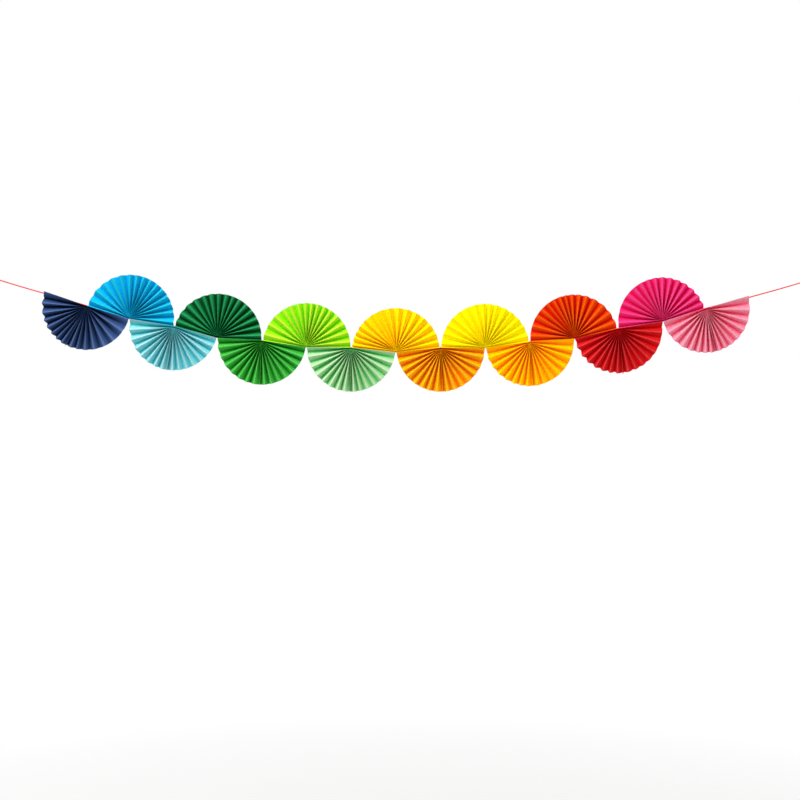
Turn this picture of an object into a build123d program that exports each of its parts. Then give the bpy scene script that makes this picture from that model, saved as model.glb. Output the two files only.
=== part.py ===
from build123d import *
from dataclasses import dataclass
from math import acos, asin, atan2, ceil, cos, degrees, hypot, pi, radians, sin, sqrt, tan
import os

# Paper fan garland: fifteen pleated half-round paper fans on one string.
#
# Every fan is one rectangle of coloured paper, folded to and fro into panels, pinched across its
# middle and folded in half there. Its last two half panels are glued face to face as the seam, and
# its first panel is the straight edge. The string runs along those edges. At each hub the next fan
# sits on the other side of the string, so each stretch between two hubs is shared: the right half
# of one fan's edge panel is glued to the left half of the next one's, with the string between.
#
# The frame is +X along the garland, -Y towards the viewer and +Z up. The origin is in the eye of
# the left loop, where a nail or a hook holds it.

# Paper and folding, in mm
fan_radius = 100.0
panel_width = 17.0
paper_thickness = 0.2
glue_gap = 0.1

# How far the pleats open at the rim: the mean step from fold to fold against a panel's width, and
# the most that any one may take, as a panel can't reach across more than its own width
pleat_spread = 0.65
widest_spread = 0.97

# The pinch at the hub, in mm: the first fold stands clear of the string, the others are packed
fold_clearance = 1.1
hub_pitch = 0.45

# Where along each arm the sheet's shape is worked out, from the pinch to the rim
arm_stations = (0.0, 0.3, 0.62, 1.0)

# String, in mm
string_diameter = 2.4
string_clearance = 0.05
string_bulge_width = 7.0
rim_gap = 1.8
left_tail = 126.0
right_tail = 144.0
tail_sag = 0.6

# The loop and knot at each end, in mm; the loop's string is a bar with this many flat sides
loop_sides = 10
eye_radius = 5.0
eye_length = 22.0
knot_length = 7.0
knot_radius = 3.0

# Slopes of the string in degrees, up to the right
left_tail_slope = -16.7
first_slope = -16.0
right_tail_slope = 15.9


@dataclass(frozen=True)
class Fan:
    """One fan: its side of the string, its opening in degrees, and how its pleats are spread.

    seam_share is the share of the opening from the left edge to the seam. The last three say how
    wide the pleats are at the left edge, the seam and the right edge, against each other.
    """

    colour: str
    side: str
    opening: float
    seam_share: float
    left_width: float
    seam_width: float
    right_width: float


fans = (
    Fan("navy", "below", 179.0, 0.44, 1.25, 0.75, 1.75),
    Fan("blue", "above", 172.5, 0.54, 1.55, 0.95, 1.15),
    Fan("aqua", "below", 174.5, 0.52, 1.45, 0.90, 1.30),
    Fan("dark_green", "above", 168.5, 0.52, 1.25, 0.92, 1.20),
    Fan("green", "below", 175.0, 0.52, 1.40, 1.00, 1.50),
    Fan("lime", "above", 172.0, 0.52, 1.50, 0.82, 1.45),
    Fan("mint", "below", 174.5, 0.51, 1.30, 0.85, 1.60),
    Fan("amber", "above", 168.0, 0.45, 0.80, 1.30, 1.40),
    Fan("ochre", "below", 173.5, 0.50, 1.30, 1.00, 1.40),
    Fan("yellow", "above", 171.5, 0.51, 1.10, 1.00, 1.50),
    Fan("golden", "below", 176.0, 0.49, 1.45, 0.85, 1.35),
    Fan("orange", "above", 171.0, 0.48, 1.50, 0.80, 1.50),
    Fan("red", "below", 176.0, 0.48, 1.30, 0.95, 1.50),
    Fan("magenta", "above", 172.0, 0.52, 1.60, 1.10, 1.35),
    Fan("pink", "below", 177.0, 0.49, 1.65, 0.75, 1.60),
)

string_radius = string_diameter / 2
string_room = string_radius + string_clearance
bulge = string_bulge_width / 2
string_lift = string_room * bulge / sqrt(bulge**2 - string_room**2)

# From one hub to the next, a rim ends just short of the other fan's hub
hub_spacing = fan_radius + rim_gap



def widest_rim(fan):
    """How long the rim of this fan's arms would be if every pleat were as wide as their widest."""
    arms = ((fan.seam_share, fan.left_width), (1 - fan.seam_share, fan.right_width))
    rims = []
    for arm_share, edge_width in arms:
        mean_width = (edge_width + fan.seam_width) / 2
        arm_rim = radians(fan.opening * arm_share) * fan_radius
        rims.append(arm_rim * max(edge_width, fan.seam_width) / mean_width)
    return max(rims)


# The steps from the first fold to the seam's are odd in number, so that those two face opposite
# ways, and as few as the mean pleat and the widest one allow
quarter_rim = pi / 2 * fan_radius
mean_steps = quarter_rim / (pleat_spread * panel_width)
widest_steps = max(widest_rim(fan) for fan in fans) / (widest_spread * panel_width)
step_count = 2 * ceil((max(mean_steps, widest_steps) - 1) / 2) + 1
line_count = step_count + 1


def straight(slope, length):
    """The X and Z of a run of this length at this slope."""
    return length * cos(radians(slope)), length * sin(radians(slope))


def string_slopes():
    """The slope of each stretch between hubs: a fan turns the string by what its opening lacks."""
    slopes = [first_slope]
    for fan in fans:
        turn = 180.0 - fan.opening
        slopes.append(slopes[-1] + (turn if fan.side == "above" else -turn))
    return slopes


def string_corners(slopes):
    """The string's corners: where it reaches the first fan, each hub, and where it leaves the last."""
    x, z = straight(left_tail_slope, eye_length + knot_length + left_tail)
    corners = [(x, z)]
    for slope in slopes:
        dx, dz = straight(slope, hub_spacing)
        x, z = x + dx, z + dz
        corners.append((x, z))
    return corners


def fold_turns(arm_opening, edge_width, seam_width):
    """The angle of each fold line from fold 1, with pleats that change evenly from edge to seam."""
    change = (seam_width - edge_width) / (step_count - 1)
    widths = [edge_width + change * j for j in range(step_count)]
    turns = [0.0]
    for width in widths:
        turns.append(turns[-1] + arm_opening * width / sum(widths))
    return turns


def fold_lines(edge_angle, arm_opening, edge_width, seam_width):
    """The start and end of each fold line of one arm, as X and Z seen from the front.

    The first line is fold 1, at the string, and the last is the fold at the seam. The lines start
    on a slope beside the pinch, so that the inner ones turn up inside the outer ones, and they
    end on the rim.
    """
    half_gap = glue_gap / 2
    first_height = string_diameter + fold_clearance
    foot = half_gap + hub_pitch * step_count
    base = half_gap + foot * tan(radians(edge_angle))
    lines = []
    for k, turn in enumerate(fold_turns(arm_opening, edge_width, seam_width)):
        angle = radians(edge_angle + turn)
        height = first_height + hub_pitch * (k - 1) if k else 0.0
        off_rim = {0: half_gap, step_count: -half_gap}.get(k, 0.0)
        end_x = fan_radius * cos(angle) - off_rim * sin(angle)
        end_z = fan_radius * sin(angle) + off_rim * cos(angle)
        lines.append(((foot - hub_pitch * k, base + height), (end_x, end_z)))
    return lines


def fold_depths(chords):
    """The depth of each fold, front to back in turn, at which every panel keeps its width."""
    depths = [panel_width / 2]
    for k, chord in enumerate(chords):
        rise = sqrt(panel_width**2 - chord**2)
        depths.append(depths[-1] - rise if k % 2 == 0 else depths[-1] + rise)
    return depths


def crossing(point_1, direction_1, point_2, direction_2):
    """Where two lines of the profile's plane cross."""
    cross = direction_1[0] * direction_2[1] - direction_1[1] * direction_2[0]
    dy, dh = point_2[0] - point_1[0], point_2[1] - point_1[1]
    along = (dy * direction_2[1] - dh * direction_2[0]) / cross
    return point_1[0] + along * direction_1[0], point_1[1] + along * direction_1[1]


def panel_direction(tip, next_tip):
    """The direction of a panel that has one of these tips on its one face and one on its other."""
    dy, dh = next_tip[0] - tip[0], next_tip[1] - tip[1]
    lean = asin(paper_thickness / hypot(dy, dh))
    angle = atan2(dh, dy) + (lean if dy > 0 else -lean)
    return cos(angle), sin(angle)


def zigzag(depths, chords):
    """The front and back faces of the folded paper across one station, from edge to seam.

    Each point is its depth, its height beyond its own fold line, and that line's number. A fold
    has its tip on the outside, and on the inside a crotch where the faces of its two panels
    cross. The edge panel is flat, and bulges in its middle over the string.
    """
    half = panel_width / 2
    heights = [0.0]
    for chord in chords:
        heights.append(heights[-1] + chord)
    free_edge = (-half, paper_thickness)
    seam_edge = (depths[-1] + panel_width, heights[-1] - paper_thickness)
    tips = [free_edge, *zip(depths, heights), seam_edge]
    directions = [panel_direction(a, b) for a, b in zip(tips, tips[1:])]
    front, back = [], []
    for depth, lift in ((-half, 0.0), (-bulge, 0.0), (0.0, string_lift), (bulge, 0.0)):
        front.append((depth, lift + paper_thickness, 0))
        back.append((depth, lift, 0))
    for line in range(line_count):
        fold = line + 1
        y, h = crossing(tips[fold - 1], directions[fold - 1], tips[fold + 1], directions[fold])
        tip, crotch = (tips[fold][0], 0.0, line), (y, h - heights[line], line)
        front.append(crotch if fold % 2 else tip)
        back.append(tip if fold % 2 else crotch)
    front.append((seam_edge[0], 0.0, step_count))
    back.append((seam_edge[0], -paper_thickness, step_count))
    return front, back


def line_places(lines, share):
    """Where the fold lines are at this share of the way to the rim, and the steps between them."""
    places = [(a[0] + (b[0] - a[0]) * share, a[1] + (b[1] - a[1]) * share) for a, b in lines]
    if share == 0.0:
        return places, [b[1] - a[1] for a, b in zip(places, places[1:])]
    return places, [hypot(b[0] - a[0], b[1] - a[1]) for a, b in zip(places, places[1:])]


def arm_rows(lines, other_lines):
    """The front and back faces of one arm at each station, as points in space, pinch to rim.

    The seam's depth is shared with the other arm, because the two are glued there.
    """
    rows = []
    for share in arm_stations:
        places, chords = line_places(lines, share)
        depths = fold_depths(chords)
        other_depths = fold_depths(line_places(other_lines, share)[1])
        shift = (other_depths[-1] - depths[-1]) / 2 / step_count
        depths = [depth + shift * k for k, depth in enumerate(depths)]
        row = []
        for face in zigzag(depths, chords):
            points = []
            for depth, rise, line in face:
                (start_x, start_z), (end_x, end_z) = lines[line]
                angle = atan2(end_z - start_z, end_x - start_x)
                if share == 0.0:
                    angle /= 2
                    rise /= cos(angle)
                x, z = places[line]
                points.append((x - rise * sin(angle), depth, z + rise * cos(angle)))
            row.append(points)
        rows.append(row)
    return rows


def facets(a, b, c, d):
    """The two flat faces of a patch of paper between four points."""
    return [Face(Wire.make_polygon(corners)) for corners in ((a, b, c), (a, c, d))]


def folded_sheet(fan):
    """One fan's paper as a closed solid, with its hub at the origin, its seam up and its edge along X."""
    edge_angle = (180.0 - fan.opening) / 2
    left_opening = fan.opening * fan.seam_share
    left = fold_lines(edge_angle, left_opening, fan.left_width, fan.seam_width)
    right = fold_lines(edge_angle, fan.opening - left_opening, fan.right_width, fan.seam_width)
    left_rows = [[[(-x, y, z) for x, y, z in face] for face in row] for row in arm_rows(left, right)]
    rows = left_rows[::-1] + arm_rows(right, left)
    faces = []
    for (front, back), (next_front, next_back) in zip(rows, rows[1:]):
        for k in range(len(front) - 1):
            faces += facets(front[k], front[k + 1], next_front[k + 1], next_front[k])
            faces += facets(back[k], next_back[k], next_back[k + 1], back[k + 1])
        for k in (0, -1):
            faces += facets(front[k], next_front[k], next_back[k], back[k])
    for front, back in (rows[0], rows[-1]):
        for k in range(len(front) - 1):
            faces += facets(front[k], back[k], back[k + 1], front[k + 1])
    return Solid(Shell(faces))


def save(part, label):
    """Label a finished piece and write its STEP file."""
    part.label = label
    export_step(part, f"parts/{label}.step")


os.makedirs("parts", exist_ok=True)
slopes = string_slopes()
corners = string_corners(slopes)

# The fans: one that hangs below the string is the same unit, turned over end for end
for number, fan in enumerate(fans, 1):
    hub_x, hub_z = corners[number]
    tilt = (slopes[number - 1] + slopes[number]) / 2
    with BuildPart() as paper_fan:
        sheet = folded_sheet(fan)
        if fan.side == "below":
            sheet = sheet.rotate(Axis.X, 180)
        add(sheet.rotate(Axis.Y, -tilt).moved(Location((hub_x, 0, hub_z))))
    save(paper_fan.part, f"fan_{number:02d}_{fan.colour}")

# The stretch of string that the fans hold, creased at each hub where they are pinched round it
with BuildPart() as string_middle:
    with BuildLine() as path:
        Polyline(*[(x, 0, z) for x, z in corners])
    with BuildSketch(Plane(path.line @ 0, z_dir=path.line % 0)):
        Circle(string_radius)
    sweep(transition=Transition.RIGHT)
save(string_middle.part, "string_middle")

# Each free end, from the edge of the end fan to its knot and the loop beyond, is one more length
right_reach = straight(right_tail_slope, right_tail + knot_length + eye_length)
right_eye = (corners[-1][0] + right_reach[0], corners[-1][1] + right_reach[1])
tail_start = eye_length + knot_length
ends = (
    ("left", (0.0, 0.0), left_tail_slope, left_tail, -tail_sag),
    ("right", right_eye, 180.0 + right_tail_slope, right_tail, tail_sag),
)
for side, (eye_x, eye_z), slope, tail_length, sag in ends:
    to_fan = (cos(radians(slope)), 0, sin(radians(slope)))
    end_frame = Plane(origin=(eye_x, 0, eye_z), x_dir=to_fan, z_dir=(0, -1, 0))
    with BuildPart() as string_end:
        with BuildLine(end_frame) as tail:
            run = (tail_length - string_clearance) / 3
            FilletPolyline(
                (tail_start, 0),
                (tail_start + run, sag),
                (tail_start + 2 * run, sag),
                (tail_start + 3 * run, 0),
                radius=0.45 * run / tan(atan2(tail_sag, run) / 2),
            )
        with BuildSketch(Plane(tail.line @ 0, z_dir=tail.line % 0)):
            Circle(string_radius)
        sweep(path=tail.line)
        with BuildLine(end_frame) as eye:
            leg_x, leg_y = eye_length, string_radius
            touch = degrees(atan2(leg_y, leg_x) + acos(eye_radius / hypot(leg_x, leg_y)))
            touch_x, touch_y = straight(touch, eye_radius)
            Line((leg_x, leg_y), (touch_x, touch_y))
            CenterArc((0, 0), eye_radius, touch, 360 - 2 * touch)
            Line((touch_x, -touch_y), (leg_x, -leg_y))
        with BuildSketch(Plane(eye.line @ 0, z_dir=eye.line % 0)):
            RegularPolygon(string_radius, side_count=loop_sides)
        sweep(path=eye.line)
        with BuildSketch(end_frame):
            with Locations((eye_length + knot_length / 2, knot_radius / 2)):
                Rectangle(knot_length, knot_radius)
        revolve(axis=Axis(end_frame.origin, end_frame.x_dir))
    save(string_end.part, f"string_{side}")
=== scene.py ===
"""Paper fan garland: fifteen pleated half-round paper fans in rainbow order on one coral string.

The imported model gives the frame: +X along the garland, -Y towards the viewer, +Z up, with the
origin in the eye of the left loop. Lengths are in metres and angles in degrees, where a line
says nothing else. Each fan is one sheet of paper, folded to and fro, pinched in its middle and
folded in half, with its last two half panels glued face to face as the seam.
"""

import logging
import math
import random
from dataclasses import dataclass, field
from enum import Enum
from typing import Iterable, Sequence

import bpy
import numpy as np
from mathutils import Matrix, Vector

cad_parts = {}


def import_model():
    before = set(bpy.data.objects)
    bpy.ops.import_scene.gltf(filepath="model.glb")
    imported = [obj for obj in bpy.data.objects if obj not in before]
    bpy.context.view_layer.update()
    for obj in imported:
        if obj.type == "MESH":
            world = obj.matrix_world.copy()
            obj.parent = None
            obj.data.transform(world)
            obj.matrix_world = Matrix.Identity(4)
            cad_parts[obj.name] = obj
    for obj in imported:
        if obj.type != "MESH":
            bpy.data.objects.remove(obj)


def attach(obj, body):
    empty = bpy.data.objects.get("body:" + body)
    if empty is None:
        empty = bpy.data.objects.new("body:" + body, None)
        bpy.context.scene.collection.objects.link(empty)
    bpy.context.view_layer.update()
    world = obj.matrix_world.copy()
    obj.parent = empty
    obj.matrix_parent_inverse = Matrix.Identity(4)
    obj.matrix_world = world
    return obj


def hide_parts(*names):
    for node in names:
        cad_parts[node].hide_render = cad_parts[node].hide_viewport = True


logger = logging.getLogger("paper_fan_garland")

PAPER_SEED = 1000
HALF_TURN = 180.0
NO_LENGTH = 1e-9

Point = tuple[float, float]
Place = tuple[float, float, float]
Colour = tuple[float, float, float]
Rgba = tuple[float, float, float, float]
Rows = list[tuple[np.ndarray, np.ndarray]]


class Side(Enum):
    """The side of the string that a fan opens to."""

    ABOVE = 1
    BELOW = -1


class End(Enum):
    """The two ends of the string."""

    LEFT = "left"
    RIGHT = "right"


@dataclass(frozen=True)
class PaperTint:
    """One paper's colour as it looks in plain light, and the shade painted into its pleats, in 0
    to 255.

    The colours are chosen in steps of five.

    Attributes:
        face: The colour of a flat, lit panel.
        valley_shade: Painted shade and bounce light: the colour painted in the depth of a pleat.
        glow: The share of the light that spreads inside the paper, more in pale papers.
    """

    face: Colour
    valley_shade: Colour
    glow: float


class Paper(Enum):
    """The fifteen coloured papers, left to right."""

    # Each paper: its face colour, the painted shade colour for the depths of its pleats, and its
    # glow.
    NAVY = PaperTint((45, 70, 115), (0, 0, 10), 0.0)
    BLUE = PaperTint((20, 165, 190), (0, 160, 210), 0.4)
    AQUA = PaperTint((130, 185, 190), (0, 190, 200), 0.3)
    DARK_GREEN = PaperTint((30, 140, 80), (0, 70, 30), 0.15)
    GREEN = PaperTint((60, 165, 60), (0, 125, 5), 0.3)
    LIME = PaperTint((180, 210, 50), (130, 220, 0), 0.7)
    MINT = PaperTint((160, 195, 150), (40, 190, 75), 0.3)
    AMBER = PaperTint((240, 200, 0), (250, 205, 0), 0.8)
    OCHRE = PaperTint((230, 165, 0), (230, 105, 0), 0.7)
    YELLOW = PaperTint((235, 210, 0), (250, 235, 0), 1.0)
    GOLDEN = PaperTint((250, 180, 0), (250, 145, 0), 1.0)
    ORANGE = PaperTint((220, 90, 5), (215, 25, 0), 0.3)
    RED = PaperTint((190, 25, 30), (210, 0, 0), 0.4)
    MAGENTA = PaperTint((220, 65, 130), (220, 10, 90), 0.4)
    PINK = PaperTint((220, 135, 155), (235, 65, 100), 0.5)

    @property
    def label(self) -> str:
        """The paper's name as the nodes and slots spell it."""
        return self.name.lower()


@dataclass(frozen=True)
class Sheet:
    """The sheet of paper that every fan is folded from.

    Attributes:
        radius: Half the sheet's height, from the pinch to the rim.
        panel_width: The width of one panel between two creases.
        pleat_spread: How far the pleats open at the rim, against a panel's width.
        thickness: The paper's thickness.
        glue_gap: The gap left for glue between two papers that are stuck together.
        first_pitch: The height of the second crease over the string at the pinch.
        hub_pitch: The distance between packed creases at the pinch.
        crease_round: How far a crease is rounded along each of its two panels.
        arm_shares: Where along each arm the shape is worked out, from rim to hub corner.
        corner_steps: How many rows round the corner between an arm and the pinch.
    """

    radius: float = 0.100
    panel_width: float = 0.017
    pleat_spread: float = 0.65
    thickness: float = 0.0002
    glue_gap: float = 0.0001
    first_pitch: float = 0.0035
    hub_pitch: float = 0.00045
    crease_round: float = 0.00045
    arm_shares: tuple[float, ...] = (1.0, 0.965, 0.87, 0.74, 0.61, 0.48, 0.36, 0.25, 0.16, 0.09)
    corner_steps: int = 3

    @property
    def line_count(self) -> int:
        """The number of creases in each half of the sheet.

        Returns:
            An even number, so that an odd number of steps lies between them.
        """
        quarter_rim = math.pi / 2 * self.radius
        mean_pleat = self.pleat_spread * self.panel_width
        return 2 * math.ceil((quarter_rim / mean_pleat - 1) / 2) + 2


@dataclass(frozen=True)
class StringSizes:
    """The string's thickness and its way from the left loop to the right one.

    Attributes:
        diameter: Its thickness.
        clearance: The space between it and the paper that bulges over it.
        bulge_width: How much of an edge panel's width bulges over it.
        hub_spacing: The distance from one hub to the next.
        left_tail: The length of the free tail on the left.
        right_tail: The same on the right.
        tail_sag: How far a free tail sags.
        eye_radius: Half the width of a loop.
        eye_length: How far beyond its knot the middle of a loop's round end is.
        knot_length: The length of a knot.
        knot_radius: Half a knot's thickness.
        left_tail_slope: The slope of the left tail, in degrees.
        first_slope: The slope along the left edge of the first fan.
        right_tail_slope: The slope of the right tail.
    """

    diameter: float = 0.0024
    clearance: float = 0.00005
    bulge_width: float = 0.007
    hub_spacing: float = 0.1018
    left_tail: float = 0.126
    right_tail: float = 0.144
    tail_sag: float = 0.0006
    eye_radius: float = 0.005
    eye_length: float = 0.022
    knot_length: float = 0.007
    knot_radius: float = 0.003
    left_tail_slope: float = -16.7
    first_slope: float = -16.0
    right_tail_slope: float = 15.9

    @property
    def radius(self) -> float:
        """Half the string's thickness."""
        return self.diameter / 2


@dataclass(frozen=True)
class FanPlan:
    """How one fan opens, and how its pleats are spread from its edges to its seam.

    Attributes:
        paper: Its paper.
        side: The side of the string that it is on.
        opening: The angle between its two edges.
        seam_share: The share of the opening from the left edge to the seam.
        left_width: How wide the pleats are at the left edge, against the two below.
        seam_width: How wide they are at the seam.
        right_width: How wide they are at the right edge.
        left_curl: How far the left edge curls over the string at the rim, where it is free.
        right_curl: The same on the right.
        tooth: How far the front creases stand out beyond the back ones at the rim, halved.
        sway: How far the front creases lean to the right at the rim, and the back ones left.
    """

    paper: Paper
    side: Side
    opening: float
    seam_share: float
    left_width: float
    seam_width: float
    right_width: float
    left_curl: float = 0.0
    right_curl: float = 0.0
    tooth: float = 0.0004
    sway: float = 0.0


FANS = (
    FanPlan(Paper.NAVY, Side.BELOW, 179.0, 0.44, 1.25, 0.75, 1.75, left_curl=0.0055, tooth=0.0008),
    FanPlan(Paper.BLUE, Side.ABOVE, 172.5, 0.54, 1.55, 0.95, 1.15),
    FanPlan(Paper.AQUA, Side.BELOW, 174.5, 0.52, 1.45, 0.90, 1.30, tooth=0.0006),
    FanPlan(Paper.DARK_GREEN, Side.ABOVE, 168.5, 0.52, 1.25, 0.92, 1.20),
    FanPlan(Paper.GREEN, Side.BELOW, 175.0, 0.52, 1.40, 1.00, 1.50),
    FanPlan(Paper.LIME, Side.ABOVE, 172.0, 0.52, 1.50, 0.82, 1.45),
    FanPlan(Paper.MINT, Side.BELOW, 174.5, 0.51, 1.30, 0.85, 1.60),
    FanPlan(Paper.AMBER, Side.ABOVE, 168.0, 0.45, 0.80, 1.30, 1.40),
    FanPlan(Paper.OCHRE, Side.BELOW, 173.5, 0.50, 1.30, 1.00, 1.40),
    FanPlan(Paper.YELLOW, Side.ABOVE, 171.5, 0.51, 1.10, 1.00, 1.50),
    FanPlan(Paper.GOLDEN, Side.BELOW, 176.0, 0.49, 1.45, 0.85, 1.35, tooth=0.0007, sway=-0.0018),
    FanPlan(Paper.ORANGE, Side.ABOVE, 171.0, 0.48, 1.50, 0.80, 1.50, tooth=0.0007),
    FanPlan(Paper.RED, Side.BELOW, 176.0, 0.48, 1.30, 0.95, 1.50, tooth=0.0016, sway=-0.003),
    FanPlan(Paper.MAGENTA, Side.ABOVE, 172.0, 0.52, 1.60, 1.10, 1.35, tooth=0.0008),
    FanPlan(
        Paper.PINK, Side.BELOW, 177.0, 0.49, 1.65, 0.75, 1.60,
        right_curl=0.0045, tooth=0.0009, sway=-0.0022,
    ),
)


def unit(angle: float) -> Point:
    """The X and Z of a step of length one at this slope, in degrees."""
    return math.cos(math.radians(angle)), math.sin(math.radians(angle))


def linear(colour: Colour) -> Rgba:
    """A colour of 0 to 255 as the shader's own linear value, by the sRGB curve.

    Args:
        colour: Red, green and blue, each from 0 to 255.

    Returns:
        Linear red, green and blue, and a full alpha.
    """
    values = []
    for channel in colour:
        share = channel / 255
        values.append(share / 12.92 if share <= 0.04045 else ((share + 0.055) / 1.055) ** 2.4)
    return values[0], values[1], values[2], 1.0


def deselect() -> None:
    """Leaves nothing selected."""
    for thing in bpy.context.selected_objects:
        thing.select_set(False)


def make_active(thing: bpy.types.Object) -> None:
    """Makes this the one selected and active object.

    Args:
        thing: The object.
    """
    deselect()
    thing.select_set(True)
    bpy.context.view_layer.objects.active = thing


def apply_modifier(thing: bpy.types.Object, kind: str, **settings: object) -> None:
    """Adds a modifier with these settings and applies it.

    Args:
        thing: The mesh object.
        kind: The modifier's type, as Blender names it.
        settings: The modifier's values.
    """
    make_active(thing)
    modifier = thing.modifiers.new(kind.title(), kind)
    for name, value in settings.items():
        setattr(modifier, name, value)
    bpy.ops.object.modifier_apply(modifier=modifier.name)


class StringRoute:
    """The way of the string: its slopes between the hubs and its corners at them."""

    def __init__(self, sizes: StringSizes, plans: Sequence[FanPlan]) -> None:
        """Works out the slopes and corners.

        Args:
            sizes: The string's sizes.
            plans: The fans, left to right.
        """
        self.sizes = sizes
        self.slopes = [sizes.first_slope]
        for plan in plans:
            turn = HALF_TURN - plan.opening
            self.slopes.append(self.slopes[-1] + turn * plan.side.value)
        reach = sizes.eye_length + sizes.knot_length + sizes.left_tail
        step = unit(sizes.left_tail_slope)
        self.corners: list[Point] = [(step[0] * reach, step[1] * reach)]
        for slope in self.slopes:
            step = unit(slope)
            x, z = self.corners[-1]
            self.corners.append((x + step[0] * sizes.hub_spacing, z + step[1] * sizes.hub_spacing))

    def hub(self, number: int) -> Point:
        """Where the hub of the fan with this number is."""
        return self.corners[number]

    def tilt(self, number: int) -> float:
        """The tilt of the fan with this number: the mean slope of the string at its hub."""
        return (self.slopes[number - 1] + self.slopes[number]) / 2


@dataclass
class PaperFan:
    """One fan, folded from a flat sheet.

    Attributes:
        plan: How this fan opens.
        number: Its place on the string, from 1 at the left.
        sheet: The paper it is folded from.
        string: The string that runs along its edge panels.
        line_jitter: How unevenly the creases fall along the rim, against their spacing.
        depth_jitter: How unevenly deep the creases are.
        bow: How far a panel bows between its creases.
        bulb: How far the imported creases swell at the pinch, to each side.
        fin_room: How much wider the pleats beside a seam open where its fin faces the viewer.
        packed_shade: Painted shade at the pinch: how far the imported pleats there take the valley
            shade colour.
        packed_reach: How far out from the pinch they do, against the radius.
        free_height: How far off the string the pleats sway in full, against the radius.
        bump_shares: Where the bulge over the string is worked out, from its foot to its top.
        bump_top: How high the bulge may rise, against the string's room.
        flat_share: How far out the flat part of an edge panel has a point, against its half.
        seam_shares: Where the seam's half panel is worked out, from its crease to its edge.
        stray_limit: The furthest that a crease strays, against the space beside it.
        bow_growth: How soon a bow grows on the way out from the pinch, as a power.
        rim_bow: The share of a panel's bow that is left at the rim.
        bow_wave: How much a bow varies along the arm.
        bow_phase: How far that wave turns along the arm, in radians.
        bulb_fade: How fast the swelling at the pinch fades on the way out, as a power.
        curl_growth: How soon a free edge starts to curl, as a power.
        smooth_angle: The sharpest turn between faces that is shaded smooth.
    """

    plan: FanPlan
    number: int
    sheet: Sheet = field(default_factory=Sheet)
    string: StringSizes = field(default_factory=StringSizes)
    line_jitter: float = 0.10
    depth_jitter: float = 0.0005
    bow: float = 0.00028
    bulb: float = 0.00017
    fin_room: float = 1.6
    packed_shade: float = 0.7
    packed_reach: float = 0.4
    free_height: float = 0.3
    bump_shares: tuple[float, ...] = (1.0, 0.6, 0.34, 0.16, 0.0)
    bump_top: float = 1.03
    flat_share: float = 0.66
    seam_shares: tuple[float, ...] = (0.4, 0.97, 1.0)
    stray_limit: float = 0.2
    bow_growth: float = 0.7
    rim_bow: float = 0.35
    bow_wave: float = 0.5
    bow_phase: float = 5.0
    bulb_fade: int = 4
    curl_growth: float = 0.8
    smooth_angle: float = 38.0

    @property
    def node(self) -> str:
        """The name of the solid that this fan stands for."""
        return f"fan_{self.number:02d}_{self.plan.paper.label}"

    def crease_turns(self, arm_opening: float, edge_width: float) -> list[float]:
        """The angle of each crease from the first one, changing evenly from edge to seam.

        Args:
            arm_opening: The angle between the first and the last crease of this arm.
            edge_width: How wide the pleats are at the edge, against seam_width at the seam.

        Returns:
            One angle for each crease, from zero.
        """
        steps = self.sheet.line_count - 1
        seam_width = self.plan.seam_width
        widths = [edge_width + (seam_width - edge_width) * j / (steps - 1) for j in range(steps)]
        if self.plan.side is Side.BELOW:
            widths[-1] *= self.fin_room
        turns = [0.0]
        for width in widths:
            turns.append(turns[-1] + arm_opening * width / sum(widths))
        return turns

    def crease_lines(
        self, arm_opening: float, edge_width: float, uneven: Sequence[float]
    ) -> list[tuple[Point, Point]]:
        """The hub corner and the rim end of each crease of one arm, as X and Z from the front.

        Args:
            arm_opening: The angle that this arm opens to.
            edge_width: How wide the pleats are at its edge.
            uneven: How far each crease strays, against the space to the crease before it.

        Returns:
            One pair of points for each crease, the first at the string and the last at the seam.
        """
        sheet = self.sheet
        half_gap = sheet.glue_gap / 2
        edge_angle = (HALF_TURN - self.plan.opening) / 2
        last = sheet.line_count - 1
        foot = half_gap + sheet.hub_pitch * last
        base = half_gap + foot * math.tan(math.radians(edge_angle))
        lines = []
        turns = self.crease_turns(arm_opening, edge_width)
        for k, turn in enumerate(turns):
            angle = edge_angle + turn + uneven[k] * (turn - turns[max(k - 1, 0)])
            height = sheet.first_pitch + sheet.hub_pitch * (k - 1) if k else 0.0
            off_rim = {0: half_gap, last: -half_gap}.get(k, 0.0)
            along_x, along_z = unit(angle)
            end = (
                sheet.radius * along_x - off_rim * along_z,
                sheet.radius * along_z + off_rim * along_x,
            )
            lines.append(((foot - sheet.hub_pitch * k, base + height), end))
        return lines

    def rows_of(self, lines: list[tuple[Point, Point]]) -> tuple[np.ndarray, np.ndarray]:
        """The creases' places and directions at each row of one arm, from the rim to the middle.

        Each crease runs straight from the rim towards its hub corner and rounds that corner into
        the flat run through the pinch.

        Args:
            lines: The hub corner and the rim end of each crease.

        Returns:
            Places and unit directions, both as rows by creases by X and Z.
        """
        sheet = self.sheet
        corner = np.array([start for start, _ in lines])
        rim = np.array([end for _, end in lines])
        places, directions = [], []
        arm = rim - corner
        arm_direction = arm / np.linalg.norm(arm, axis=1, keepdims=True)
        for share in sheet.arm_shares:
            places.append(corner + arm * share)
            directions.append(arm_direction)
        start = places[-1]
        middle = np.stack([np.zeros(len(lines)), corner[:, 1]], axis=1)
        for step in range(1, sheet.corner_steps + 2):
            t = step / (sheet.corner_steps + 1)
            places.append(start * (1 - t) ** 2 + corner * 2 * t * (1 - t) + middle * t**2)
            along = (start - corner) * (1 - t) + (corner - middle) * t
            length = np.linalg.norm(along, axis=1, keepdims=True)
            flat = np.array([[1.0, 0.0]])
            step_along = along / np.maximum(length, NO_LENGTH)
            directions.append(np.where(length > NO_LENGTH, step_along, flat))
        return np.array(places), np.array(directions)

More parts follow.
